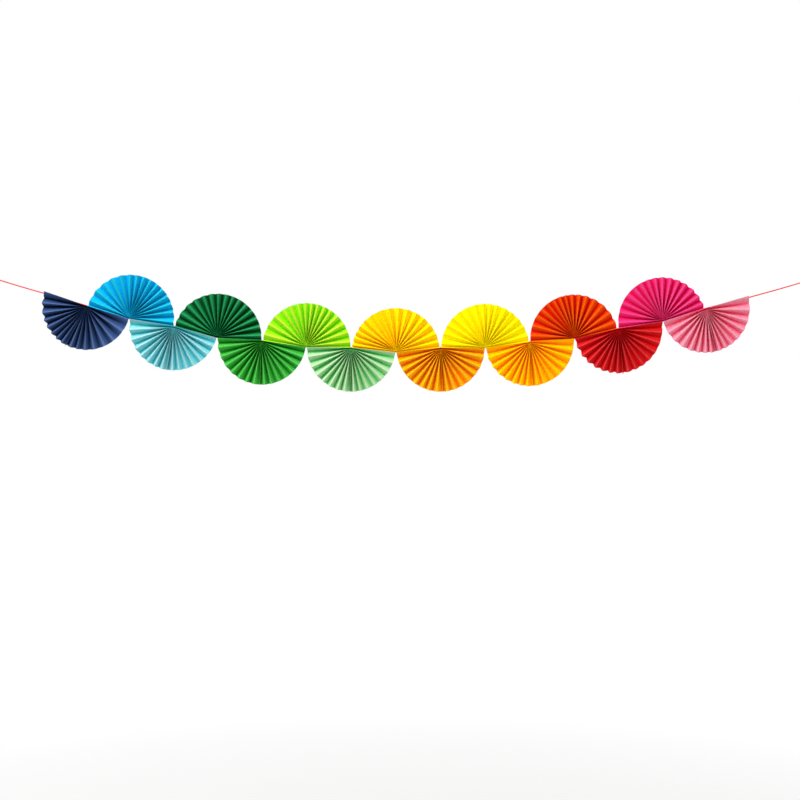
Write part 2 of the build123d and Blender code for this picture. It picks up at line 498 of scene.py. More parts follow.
    def crease_depths(self, places: np.ndarray) -> np.ndarray:
        """The depth of each crease at each row, front to back in turn, at a constant panel width.

        Args:
            places: Rows by creases by X and Z.

        Returns:
            Rows by creases, with the front below zero.
        """
        width = self.sheet.panel_width
        chords = np.linalg.norm(np.diff(places, axis=1), axis=2)
        rises = np.sqrt(width**2 - chords**2)
        signs = np.array([-1.0 if k % 2 == 0 else 1.0 for k in range(chords.shape[1])])
        depths = np.cumsum(rises * signs, axis=1) + width / 2
        return np.hstack([np.full((len(places), 1), width / 2), depths])

    def string_bump(self) -> list[Point]:
        """How the edge panel lifts over the string.

        Returns:
            Depths across the panel, from its free side, and the lift at each.
        """
        room = self.string.radius + self.string.clearance
        half_bulge = self.string.bulge_width / 2
        peak = room * half_bulge / math.sqrt(half_bulge**2 - room**2)
        rising = [
            (half_bulge * share, min(peak * (1 - share), room * self.bump_top))
            for share in self.bump_shares
        ]
        left = [(-depth, lift) for depth, lift in rising]
        half = self.sheet.panel_width / 2
        return [(-half, 0.0), (-half * self.flat_share, 0.0), *left, *rising[-2::-1]]

    def profile(
        self, depths: np.ndarray, chords: np.ndarray, bows: np.ndarray, bulb: float
    ) -> tuple[np.ndarray, np.ndarray]:
        """The front and back faces of the folded paper across one row, from edge to seam.

        Args:
            depths: The depth of each crease.
            chords: The distance from each crease to the next.
            bows: How far each panel bows at its middle.
            bulb: How far each crease swells to its sides.

        Returns:
            Two arrays of depth, height beyond the crease's own line, and that line's number.
        """
        sheet = self.sheet
        thickness = sheet.thickness
        heights = np.concatenate([[0.0], np.cumsum(chords)])
        half = sheet.panel_width / 2
        tips = np.vstack([
            [-half, thickness],
            np.stack([depths, heights], axis=1),
            [depths[-1] + sheet.panel_width, heights[-1] - thickness],
        ])
        steps = np.diff(tips, axis=0)
        lengths = np.hypot(steps[:, 0], steps[:, 1])
        lean = np.arcsin(thickness / lengths)
        angles = np.arctan2(steps[:, 1], steps[:, 0]) + np.where(steps[:, 0] > 0, lean, -lean)
        ways = np.stack([np.cos(angles), np.sin(angles)], axis=1)
        bump = self.string_bump()
        front = [(depth, lift + thickness, 0) for depth, lift in bump]
        back = [(depth, lift, 0) for depth, lift in bump]
        round_off = sheet.crease_round
        swell = (-bulb, 0.0, bulb)
        for line in range(sheet.line_count):
            fold = line + 1
            way_in, way_out = ways[fold - 1], ways[fold]
            tip_before, tip_after = tips[fold - 1], tips[fold + 1]
            cross = way_in[0] * way_out[1] - way_in[1] * way_out[0]
            gap = tip_after - tip_before
            along = (gap[0] * way_out[1] - gap[1] * way_out[0]) / cross
            crotch = tip_before + along * way_in
            layers = []
            for corner in (tips[fold], crotch):
                layer = [
                    corner - way_in * round_off,
                    corner + (way_out - way_in) * round_off / 4,
                    corner + way_out * round_off,
                ]
                layers.append([
                    (depth, height - heights[line] + out, line)
                    for (depth, height), out in zip(layer, swell)
                ])
            outside, inside = layers
            opens_front = fold % 2 == 1
            front += inside if opens_front else outside
            back += outside if opens_front else inside
            if line < sheet.line_count - 1:
                normal = np.array([-way_out[1], way_out[0]]) * bows[line]
                for face, corner in (
                    (front, crotch if opens_front else tips[fold]),
                    (back, tips[fold] if opens_front else crotch),
                ):
                    middle = corner + way_out * lengths[fold] / 2 + normal
                    face.append((middle[0], middle[1] - heights[line], line))
        seam_depth = tips[-1][0]
        for share in self.seam_shares:
            depth = depths[-1] + (seam_depth - depths[-1]) * share
            front.append((depth, 0.0, sheet.line_count - 1))
            back.append((depth, -thickness, sheet.line_count - 1))
        return np.array(front), np.array(back)

    def arm(
        self,
        openings: tuple[float, float],
        widths: tuple[float, float],
        curl: float,
        rng: random.Random,
    ) -> Rows:
        """Both faces of one arm at each row, as points in space, from the rim to the middle.

        Args:
            openings: The opening of this arm, and of the other that it is glued to at the seam.
            widths: How wide the pleats are at this arm's edge, and at the other's.
            curl: How far this arm's edge curls over the string at the rim.
            rng: The fan's own random numbers.

        Returns:
            The front and back points of each row.
        """
        sheet = self.sheet
        even = [0.0] * sheet.line_count
        limit = self.stray_limit
        stray = [max(-limit, min(limit, rng.gauss(0.0, self.line_jitter))) for _ in even]
        stray[0] = stray[-1] = 0.0
        places, directions = self.rows_of(self.crease_lines(openings[0], widths[0], stray))
        depths, other_depths = (
            self.crease_depths(self.rows_of(self.crease_lines(opening, width, even))[0])
            for opening, width in zip(openings, widths)
        )
        shift = (other_depths[:, -1] - depths[:, -1]) / 2 / (sheet.line_count - 1)
        depths = depths + shift[:, None] * np.arange(sheet.line_count)[None, :]
        shares = list(sheet.arm_shares) + [0.0] * (sheet.corner_steps + 1)
        lean = -self.plan.side.value * self.plan.tooth / (sheet.panel_width / 2)
        uneven = np.array([rng.gauss(0.0, self.depth_jitter) for _ in even])
        uneven[0] = uneven[-1] = 0.0
        panel_bows = [rng.gauss(0.0, self.bow) for _ in range(sheet.line_count - 1)]
        phases = [rng.uniform(0.0, math.tau) for _ in range(sheet.line_count - 1)]
        rows = []
        for index, share in enumerate(shares):
            row_depths = depths[index] + uneven * share
            chords = np.linalg.norm(np.diff(places[index], axis=0), axis=1)
            swell = math.sin(math.pi * min(share, 1.0) ** self.bow_growth) + self.rim_bow * share
            bows = np.array([
                bow * swell * (1 + self.bow_wave * math.sin(phase + self.bow_phase * share))
                for bow, phase in zip(panel_bows, phases)
            ])
            faces = []
            bulb = self.bulb * (1 - share) ** self.bulb_fade
            for face in self.profile(row_depths, chords, bows, bulb):
                line = face[:, 2].astype(int)
                way = directions[index][line]
                place = places[index][line]
                rise = face[:, 1] - self.curled(face, curl * share**self.curl_growth)
                out = face[:, 0] * lean * share
                across = place[:, 0] - rise * way[:, 1] + out * way[:, 0]
                up = place[:, 1] + rise * way[:, 0] + out * way[:, 1]
                faces.append(np.stack([across, face[:, 0], up], axis=1))
            rows.append((faces[0], faces[1]))
        return rows

    def curled(self, face: np.ndarray, curl: float) -> np.ndarray:
        """How far each point of a row moves where a free edge panel curls over the string.

        Args:
            face: The row's points, as depth, height and line number.
            curl: How far the first crease moves.

        Returns:
            One distance for each point.
        """
        start = self.string.bulge_width / 2
        reach = np.clip((face[:, 0] - start) / (self.sheet.panel_width / 2 - start), 0.0, 1.0)
        return np.where(face[:, 2] == 0, curl * reach, 0.0)

    def folded_rows(self) -> Rows:
        """Folds both arms.

        Returns:
            Both faces of the whole sheet at each row, from the left rim to the right one.
        """
        rng = random.Random(PAPER_SEED + self.number)
        plan = self.plan
        left_opening = plan.opening * plan.seam_share
        openings = (left_opening, plan.opening - left_opening)
        widths = (plan.left_width, plan.right_width)
        flip = np.array([-1.0, 1.0, 1.0])
        left = self.arm(openings, widths, plan.left_curl, rng)
        left_rows = [(front * flip, back * flip) for front, back in left]
        right_rows = self.arm(openings[::-1], widths[::-1], plan.right_curl, rng)
        return left_rows + right_rows[-2::-1]

    def flat_sheet(self, columns: int, rows: int) -> bpy.types.Object:
        """The sheet as it is cut: a flat grid with its paper thickness.

        Args:
            columns: The number of points across the panels.
            rows: The number of points from one rim to the other.

        Returns:
            The mesh object, its lower face first and then its upper one.
        """
        deselect()
        bpy.ops.mesh.primitive_grid_add(
            x_subdivisions=columns - 1,
            y_subdivisions=rows - 1,
            size=self.sheet.radius * 2,
            location=(0.0, 0.0, 0.0),
        )
        paper = bpy.context.active_object
        paper.name = f"{self.node}_paper"
        apply_modifier(
            paper,
            "SOLIDIFY",
            thickness=self.sheet.thickness,
            offset=-1.0,
            use_even_offset=False,
            use_rim=True,
        )
        return paper

    def hub_shares(self, points: np.ndarray) -> np.ndarray:
        """How far each point is from the hub, against the radius."""
        return np.hypot(points[:, 0], points[:, 2]) / self.sheet.radius

    def painted_shade_mask(self, front: np.ndarray, back: np.ndarray) -> np.ndarray:
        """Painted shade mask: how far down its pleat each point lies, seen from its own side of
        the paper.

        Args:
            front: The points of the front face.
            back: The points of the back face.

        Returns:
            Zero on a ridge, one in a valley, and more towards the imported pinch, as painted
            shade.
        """
        width = self.sheet.panel_width
        half = width / 2
        valley = np.concatenate([front[:, 1] + half, half - back[:, 1]]) / width
        from_hub = self.hub_shares(np.concatenate([front, back]))
        # Painted shade: the pleats packed near the pinch take more of the valley shade colour.
        packed = self.packed_shade * np.clip(1.0 - from_hub / self.packed_reach, 0.0, 1.0)
        return np.clip(valley + (1.0 - valley) * packed, 0.0, 1.0)

    def placed(self, points: np.ndarray, route: StringRoute) -> np.ndarray:
        """Turns the fan to its side of the string, sways its pleats and sets it at its hub.

        Args:
            points: The folded sheet, opening upwards from a hub at the origin.
            route: The way of the string.

        Returns:
            The same points in the garland's frame.
        """
        sheet = self.sheet
        if self.plan.side is Side.BELOW:
            points = points * np.array([1.0, -1.0, -1.0])
        from_hub = np.minimum(self.hub_shares(points), 1.0)
        off_string = np.clip(np.abs(points[:, 2]) / (self.free_height * sheet.radius), 0.0, 1.0)
        sway = self.plan.sway * points[:, 1] / (sheet.panel_width / 2) * off_string * from_hub
        across, depth, up = points[:, 0] - sway, points[:, 1], points[:, 2]
        along_x, along_z = unit(route.tilt(self.number))
        hub_x, hub_z = route.hub(self.number)
        x = across * along_x - up * along_z + hub_x
        z = across * along_z + up * along_x + hub_z
        return np.stack([x, depth, z], axis=1)

    def build(self, route: StringRoute) -> bpy.types.Object:
        """Folds the sheet, sets it at its hub and makes it smooth where it is round.

        Args:
            route: The way of the string.

        Returns:
            The finished fan.
        """
        rows = self.folded_rows()
        columns = len(rows[0][0])
        paper = self.flat_sheet(columns, len(rows))
        mesh = paper.data
        front = np.concatenate([row[0] for row in rows])
        back = np.concatenate([row[1] for row in rows])
        placed = self.placed(np.concatenate([front, back]), route)
        if len(mesh.vertices) != len(placed):
            raise ValueError(f"{self.node}: {len(mesh.vertices)} points, not {len(placed)}")
        mesh.vertices.foreach_set("co", placed.astype(np.float32).ravel())
        # This mask places the painted shade in the valleys and the painted highlight on the
        # ridges.
        valley = mesh.attributes.new("valley", "FLOAT", "POINT")
        valley.data.foreach_set("value", self.painted_shade_mask(front, back).astype(np.float32))
        self.lay_out(paper, columns, len(rows))
        make_active(paper)
        bpy.ops.object.mode_set(mode="EDIT")
        bpy.ops.mesh.select_all(action="SELECT")
        bpy.ops.mesh.normals_make_consistent(inside=False)
        bpy.ops.object.mode_set(mode="OBJECT")
        bpy.ops.object.shade_smooth_by_angle(angle=math.radians(self.smooth_angle))
        return paper

    def lay_out(self, paper: bpy.types.Object, columns: int, rows: int) -> None:
        """Gives each face the place that it had in the flat sheet, as its UV, in sheet metres.

        Args:
            paper: The folded sheet.
            columns: The number of points across the panels.
            rows: The number of points from rim to rim.
        """
        mesh = paper.data
        count = columns * rows
        corners = np.zeros(len(mesh.loops), np.int32)
        mesh.loops.foreach_get("vertex_index", corners)
        flat = corners % count
        sheet = self.sheet
        across = (flat % columns) / (columns - 1) * (sheet.line_count + 1) * sheet.panel_width
        along = (flat // columns) / (rows - 1) * sheet.radius * 2
        layer = mesh.uv_layers.active or mesh.uv_layers.new(name="UVMap")
        layer.data.foreach_set("uv", np.stack([across, along], axis=1).astype(np.float32).ravel())


class ShaderTree:
    """A new material, and the nodes that the finishes share."""

    def __init__(self, name: str) -> None:
        """Makes the material.

        Args:
            name: The material's name.
        """
        self.material = bpy.data.materials.new(name)
        self.material.use_nodes = True
        self.nodes = self.material.node_tree.nodes
        self.links = self.material.node_tree.links
        self.shader = self.nodes["Principled BSDF"]

    def noise(
        self, place: bpy.types.NodeSocket, scale: float, detail: float, rough: float = 0.5
    ) -> bpy.types.NodeSocket:
        """Adds a noise pattern.

        Args:
            place: Where the pattern is read.
            scale: How fine it is.
            detail: How many finer patterns lie over it.
            rough: How strong those are.

        Returns:
            The socket with its grey value.
        """
        pattern = self.nodes.new("ShaderNodeTexNoise")
        for name, value in (("Scale", scale), ("Detail", detail), ("Roughness", rough)):
            pattern.inputs[name].default_value = value
        self.links.new(place, pattern.inputs["Vector"])
        return pattern.outputs["Fac"]

    def colour_mix(self, share: bpy.types.NodeSocket, second: Rgba) -> bpy.types.ShaderNodeMix:
        """Gives the shader a base colour that a pattern mixes from two.

        Args:
            share: The pattern, which brings in the second colour.
            second: The second colour.

        Returns:
            The mixing node, whose first colour is still to be set.
        """
        mix = self.nodes.new("ShaderNodeMix")
        mix.data_type = "RGBA"
        mix.inputs["B"].default_value = second
        self.links.new(share, mix.inputs["Factor"])
        self.links.new(mix.outputs["Result"], self.shader.inputs["Base Color"])
        return mix

    def surface(
        self,
        roughness: float,
        gloss: float,
        height: bpy.types.NodeSocket,
        distance: float,
        strength: float,
    ) -> None:
        """Sets how matt the surface is, and roughens it by a pattern.

        Args:
            roughness: How matt it is.
            gloss: How strong its sheen is.
            height: The pattern.
            distance: How high the pattern stands.
            strength: How strongly it shows.
        """
        bump = self.nodes.new("ShaderNodeBump")
        bump.inputs["Distance"].default_value = distance
        bump.inputs["Strength"].default_value = strength
        self.links.new(height, bump.inputs["Height"])
        self.links.new(bump.outputs["Normal"], self.shader.inputs["Normal"])
        self.shader.inputs["Roughness"].default_value = roughness
        self.shader.inputs["Specular IOR Level"].default_value = gloss


@dataclass(frozen=True)
class PaperFinish:
    """Dyed craft paper: matt, felted, mottled, with painted shade in pleats and rubbed,
    painted-highlit creases.

    Attributes:
        paper: The coloured paper.
        roughness: How matt it is.
        gloss: How strong its sheen is.
        fibre: The scale, detail and roughness of its fibres.
        mottle: The scale and detail of its mottle.
        mottle_shade: How dark the mottle is.
        grain_height: How high the fibres stand.
        grain_strength: How strongly they show.
        wear_and_highlight: How much lighter a crease is, partly rubbed and partly a painted
            highlight, in a paper that doesn't glow.
        pale_core_and_highlight: How much of the pale core shows there, rubbed pale and painted
            highlight.
        worn_highlight_band: How far down a pleat the lighter, painted-highlit ridge reaches, of
            its depth.
        painted_shade_start: Where the painted valley shade starts to mix in.
        painted_shade_end: Where that painted shade is full.
        glow_reach: How far light spreads inside the paper.
    """

    paper: Paper
    roughness: float = 0.82
    gloss: float = 0.05
    fibre: tuple[float, float, float] = (2600.0, 3.0, 0.65)
    mottle: tuple[float, float] = (160.0, 4.0)
    mottle_shade: float = 0.86
    grain_height: float = 0.00006
    grain_strength: float = 0.5
    wear_and_highlight: float = 0.35
    pale_core_and_highlight: float = 0.05
    worn_highlight_band: float = 0.16
    painted_shade_start: float = 0.22
    painted_shade_end: float = 0.85
    glow_reach: float = 0.0006

    def dye_and_painted_light(self, tree: ShaderTree) -> bpy.types.NodeSocket:
        """Adds the colours from a rubbed, painted-highlit crease down to the painted shade in a
        pleat's depth.

        Args:
            tree: The material's nodes.

        Returns:
            The socket with the paper's colour, its painted highlight and its painted shade.
        """
        tint = self.paper.value
        face = linear(tint.face)
        # Painted highlight: the ridge colour is lightened and paled, partly for rubbing, less
        # where the paper glows.
        dull = 1.0 - tint.glow
        lift = 1.0 + self.wear_and_highlight * dull
        pale = self.pale_core_and_highlight * dull
        worn_and_highlit = tuple(min(1.0, channel * lift * (1 - pale) + pale) for channel in face[:3])
        valley = tree.nodes.new("ShaderNodeAttribute")
        valley.attribute_name = "valley"
        ramp = tree.nodes.new("ShaderNodeValToRGB")
        stops = ramp.color_ramp.elements
        # Ramp: painted highlight on the ridge, then the face colour, then painted shade in the
        # valley.
        stops[0].color = (*worn_and_highlit, 1.0)
        stops[1].color = linear(tint.valley_shade)
        stops[1].position = self.painted_shade_end
        for position in (self.worn_highlight_band, self.painted_shade_start):
            stops.new(position).color = face
        tree.links.new(valley.outputs["Fac"], ramp.inputs["Fac"])
        return ramp.outputs["Color"]

    def material(self) -> bpy.types.Material:
        """Makes the material.

        Returns:
            A Principled material that reads the sheet's own UV map.
        """
        tree = ShaderTree(f"{self.paper.label}_paper")
        place = tree.nodes.new("ShaderNodeUVMap").outputs["UV"]
        fibre = tree.noise(place, *self.fibre)
        shade = self.mottle_shade
        mix = tree.colour_mix(tree.noise(place, *self.mottle), (shade, shade, shade, 1.0))
        mix.blend_type = "MULTIPLY"
        tree.links.new(self.dye_and_painted_light(tree), mix.inputs["A"])
        tree.surface(self.roughness, self.gloss, fibre, self.grain_height, self.grain_strength)
        inputs = tree.shader.inputs
        inputs["Subsurface Weight"].default_value = self.paper.value.glow
        inputs["Subsurface Radius"].default_value = (1.0, 1.0, 1.0)
        inputs["Subsurface Scale"].default_value = self.glow_reach
        return tree.material


@dataclass(frozen=True)
class TwineFinish:
    """Coral cotton twine: matt, a little fuzzy, darker between its strands.

    Attributes:
        colour: Its dye, in 0 to 255.
        dark_share: How bright its dark fibres are, against the dye.
        light_share: How bright its light fibres are.
        fibre: The scale and detail of its fibres.
        fuzz_height: How high they stand.
        fuzz_strength: How strongly they show.
        roughness: How matt it is.
        gloss: How strong its sheen is.
    """

    colour: Colour = (215, 20, 20)
    dark_share: float = 0.82
    light_share: float = 1.1
    fibre: tuple[float, float] = (1800.0, 3.0)
    fuzz_height: float = 0.00008
    fuzz_strength: float = 0.6
    roughness: float = 0.9
    gloss: float = 0.2

    def material(self) -> bpy.types.Material:
        """Makes the material.

        Returns:
            A Principled material with a fibre bump on Object coordinates.
        """
        tree = ShaderTree("coral_twine")
        fibre = tree.noise(tree.nodes.new("ShaderNodeTexCoord").outputs["Object"], *self.fibre)
        dark, light = (
            (*(min(1.0, channel * share) for channel in linear(self.colour)[:3]), 1.0)
            for share in (self.dark_share, self.light_share)
        )
        tree.colour_mix(fibre, light).inputs["A"].default_value = dark
        tree.surface(self.roughness, self.gloss, fibre, self.fuzz_height, self.fuzz_strength)
        return tree.material


@dataclass
class Twine:
    """Twisted twine laid along a smooth line.

    Attributes:
        sizes: The string's sizes.
        plies: How many strands are twisted together.
        lay: The length of one full turn of the strands.
        steps_a_turn: How many points each strand has in one turn.
        slack: How much thicker it swells where nothing presses on it.
        strand_share: How thick a strand is, against the twine.
        curve_steps: How many points a smooth line has between two of its route.
        smooth_angle: The sharpest turn between faces that is shaded smooth.
    """

    sizes: StringSizes = field(default_factory=StringSizes)
    plies: int = 3
    lay: float = 0.0075
    steps_a_turn: int = 9
    slack: float = 1.0
    strand_share: float = 0.53
    curve_steps: int = 24
    smooth_angle: float = 50.0

    def smooth_line(self, name: str, route: Iterable[Sequence[float]]) -> list[Vector]:
        """The points of the smooth line through this route, read from its spline.

        Args:
            name: The name of the curve that is made and removed again.
            route: The route's points, in order.

        Returns:
            Points along the line.
        """
        curve = bpy.data.curves.new(name, "CURVE")
        curve.dimensions = "3D"
        curve.resolution_u = self.curve_steps
        spline = curve.splines.new("NURBS")
        route = [Vector(point) for point in route]
        spline.points.add(len(route) - 1)
        for point, place in zip(spline.points, route):
            point.co = (*place, 1.0)
        spline.order_u = 3
        spline.use_endpoint_u = True
        holder = bpy.data.objects.new(name, curve)
        bpy.context.scene.collection.objects.link(holder)
        bpy.context.view_layer.update()
        mesh = bpy.data.meshes.new_from_object(holder)
        line = [vertex.co.copy() for vertex in mesh.vertices]
        bpy.data.objects.remove(holder)
        bpy.data.curves.remove(curve)
        bpy.data.meshes.remove(mesh)
        return line

    def evenly(self, line: Sequence[Vector], step: float) -> list[Vector]:
        """The same line with its points at even distances.

        Args:
            line: Points along the line.
            step: The distance wanted between two points.

        Returns:
            Points along the line, both ends included.
        """
        points = np.array([list(point) for point in line])
        lengths = np.linalg.norm(np.diff(points, axis=0), axis=1)
        reach = np.concatenate([[0.0], np.cumsum(lengths)])
        count = max(2, round(reach[-1] / step) + 1)
        wanted = np.linspace(0.0, reach[-1], count)
        even = np.stack([np.interp(wanted, reach, points[:, axis]) for axis in range(3)], axis=1)
        return [Vector(point) for point in even.tolist()]

    def lay_strands(self, name: str, line: Sequence[Vector]) -> bpy.types.Object:
        """Twists the strands round this line.

        Args:
            name: The piece's name.
            line: Points along the middle of the twine.

        Returns:
            The twine as one mesh.
        """
        radius = self.sizes.radius * self.slack
        strand = radius * self.strand_share
        offset = radius - strand
        middle = self.evenly(line, self.lay / self.steps_a_turn)
        curve = bpy.data.curves.new(name, "CURVE")
        curve.dimensions = "3D"
        curve.bevel_depth = strand
        curve.bevel_resolution = 1
        curve.use_fill_caps = True
        side = Vector((0.0, 1.0, 0.0))
        for ply in range(self.plies):
            spline = curve.splines.new("POLY")
            spline.points.add(len(middle) - 1)
            for index, place in enumerate(middle):
                before = middle[max(index - 1, 0)]
                after = middle[min(index + 1, len(middle) - 1)]
                tangent = (after - before).normalized()
                out = (side - tangent * side.dot(tangent)).normalized()
                up = tangent.cross(out)
                angle = math.tau * (ply / self.plies + index / self.steps_a_turn)
                at = place + (out * math.cos(angle) + up * math.sin(angle)) * offset
                spline.points[index].co = (*at, 1.0)
        holder = bpy.data.objects.new(name, curve)
        bpy.context.scene.collection.objects.link(holder)
        make_active(holder)
        bpy.ops.object.convert(target="MESH")
        twine = bpy.context.active_object
        bpy.ops.object.shade_smooth_by_angle(angle=math.radians(self.smooth_angle))
        return twine


@dataclass(frozen=True)
class TailLine:
    """The straight line of a free end, outwards from the edge of its fan.

    Attributes:
        corner: Where it leaves the fan.
        slope: Its slope outwards, in degrees.
    """

    corner: Point
    slope: float

    def at(self, distance: float, lift: float = 0.0, depth: float = 0.0) -> Place:
        """A point beside the line.

        Args:
            distance: How far it is from the fan.
            lift: How far it is above the line.
            depth: How far it is behind the line.

        Returns:
            The point in the garland's frame.
        """
        out_x, out_z = unit(self.slope)
        up_x, up_z = (-out_z, out_x) if out_x > 0 else (out_z, -out_x)
        return (
            self.corner[0] + out_x * distance + up_x * lift,
            depth,
            self.corner[1] + out_z * distance + up_z * lift,
        )


@dataclass(frozen=True)
class EndLoop:
    """The loop for a nail or hook, bound by turns of its own end.

    Attributes:
        sizes: The string's sizes.
        line: The line of the free tail.
        start: Where the knot starts along it.
        lay: The length of one full turn of the strands.
        steps_a_turn: How many points each strand has in one turn.
        slack: How much thicker the twine swells than between the fans.
        tuck: How far the first leg starts inside the tail.
        tuck_lift: How far that start is off the line, against a leg.
        leg_lift: How far each leg is off the line in the knot, against the string's radius.
        mouth: How far beyond the knot the legs part.
        mouth_lift: How far they have parted there, against a leg.
        flank: A point on the flank, in eye lengths from the knot and in eye radii off the line.
        brow: Points round the end of the eye, in eye radii from it and off the line.
        tip: How far the loop reaches beyond the end of the eye, in eye radii.
        wraps: How many turns bind the knot.
        steps_a_wrap: How many points each of them has.
        wrap_sink: How deep the turns lie in the knot, against the string's radius.
        wrap_width: How much wider than deep they are, round both legs.
    """

    sizes: StringSizes
    line: TailLine
    start: float
    lay: float = 0.006
    steps_a_turn: int = 8
    slack: float = 1.1
    tuck: float = 0.001
    tuck_lift: float = 0.2
    leg_lift: float = 0.9
    mouth: float = 0.002
    mouth_lift: float = 1.4
    flank: Point = (0.55, 0.75)
    brow: tuple[Point, ...] = ((-0.2, 1.12), (0.98, 0.95))
    tip: float = 1.02
    wraps: int = 3
    steps_a_wrap: int = 12
    wrap_sink: float = 0.62
    wrap_width: float = 1.25

    def eye_route(self) -> list[Place]:
        """The way out of the knot, round the eye and back into the knot.

        Returns:
            The route's points.
        """
        sizes, start, place = self.sizes, self.start, self.line.at
        knot_end = start + sizes.knot_length
        eye = knot_end + sizes.eye_length
        radius = sizes.eye_radius
        leg = sizes.radius * self.leg_lift
        outward = [
            (start + sizes.knot_length * 0.5, leg),
            (knot_end + self.mouth, leg * self.mouth_lift),
            (knot_end + sizes.eye_length * self.flank[0], radius * self.flank[1]),
            *((eye + radius * along, radius * off) for along, off in self.brow),
        ]
        return [
            place(start - self.tuck, leg * self.tuck_lift),
            *(place(distance, lift) for distance, lift in outward),
            place(eye + radius * self.tip),
            *(place(distance, -lift) for distance, lift in reversed(outward)),
            place(start, -leg),
        ]

    def wrap_route(self) -> list[Place]:
        """The turns round the knot.

        Returns:
            The route's points.
        """
        sizes = self.sizes
        core = sizes.knot_radius - sizes.radius * self.wrap_sink
        steps = self.wraps * self.steps_a_wrap
        route = []
        for index in range(steps + 1):
            angle = math.tau * index / self.steps_a_wrap
            along = (sizes.knot_length - sizes.diameter) * (index / steps)
            lift = core * self.wrap_width * math.cos(angle)
            distance = self.start + sizes.radius + along
            route.append(self.line.at(distance, lift, core * math.sin(angle)))
        return route

    def build(self, end: End) -> bpy.types.Object:
        """Lays the loop and binds its knot.

        Args:
            end: The end of the string that it is at.

        Returns:
            The loop and its knot as one mesh.
        """
        side = end.value
        thread = Twine(self.sizes, lay=self.lay, steps_a_turn=self.steps_a_turn, slack=self.slack)
        loop, wrap = (
            thread.lay_strands(
                f"string_{name}_{side}", thread.smooth_line(f"{side}_{name}_route", route)
            )
            for name, route in (("loop", self.eye_route()), ("wrap", self.wrap_route()))
        )
        make_active(loop)
        wrap.select_set(True)
        bpy.ops.object.join()
        return bpy.context.active_object


@dataclass
class GarlandString:
    """The string: the stretch that the fans hold, and the two free ends with their loops.

    Attributes:
        route: The way of the string.
        finish: Its material.
        bend_reach: How far beside a hub the string starts to bend, against its thickness.
        tail_slack: How much thicker it swells in the free tails.
    """

    route: StringRoute
    finish: bpy.types.Material
    bend_reach: float = 6.0
    tail_slack: float = 1.18

    def held_stretch(self) -> bpy.types.Object:
        """The stretch between the edge panels, round each hub in a short bend.

        Returns:
            The finished twine.
        """
        route = self.route
        beside = route.sizes.diameter * self.bend_reach
        corners = [(x, 0.0, z) for x, z in route.corners]
        points = [corners[0]]
        for number in range(1, len(corners) - 1):
            x, _, z = corners[number]
            in_x, in_z = unit(route.slopes[number - 1])
            out_x, out_z = unit(route.slopes[number])
            points.append((x - beside * in_x, 0.0, z - beside * in_z))
            points.append(corners[number])
            points.append((x + beside * out_x, 0.0, z + beside * out_z))
        points.append(corners[-1])
        twine = Twine(route.sizes)
        piece = twine.lay_strands("string_held", twine.smooth_line("held_route", points))
        self.dress(piece, "string_middle")
        return piece

    def dress(self, piece: bpy.types.Object, node: str) -> None:
        """Gives the piece its finish and its body, and lets it stand for this node.

        Args:
            piece: The finished twine.
            node: The name of the solid.
        """
        piece.data.materials.clear()
        piece.data.materials.append(self.finish)
        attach(piece, "root")
        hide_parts(node)

    def free_end(self, end: End) -> list[bpy.types.Object]:
        """One free end: the taut tail, its knot and the loop beyond.

        Args:
            end: Which end of the string.

        Returns:
            The tail, and the loop with its knot.
        """
        sizes = self.route.sizes
        side = end.value
        if end is End.LEFT:
            tail_length = sizes.left_tail
            tail_line = TailLine(self.route.corners[0], sizes.left_tail_slope + HALF_TURN)
        else:
            tail_length = sizes.right_tail
            tail_line = TailLine(self.route.corners[-1], sizes.right_tail_slope)
        place = tail_line.at
        sag = sizes.tail_sag
        run = tail_length / 3
        tail_route = (place(0.0), place(run, -sag), place(2 * run, -sag), place(tail_length))
        free_twine = Twine(sizes, slack=self.tail_slack)
        line = free_twine.smooth_line(f"{side}_route", tail_route)
        tail = free_twine.lay_strands(f"string_tail_{side}", line)
        self.dress(tail, f"string_{side}")
        loop = EndLoop(sizes, tail_line, tail_length).build(end)
        self.dress(loop, f"string_{side}")
        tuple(place(0.0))
        return [tail, loop]


@dataclass(frozen=True)
class Lamp:
    """One soft rectangular lamp.

    Attributes:
        name: Its name.
        place: Its place, across from the middle of the garland.
        size: Its width and height.
        power: Its power in watts.
    """

    name: str
    place: Place
    size: tuple[float, float]
    power: float


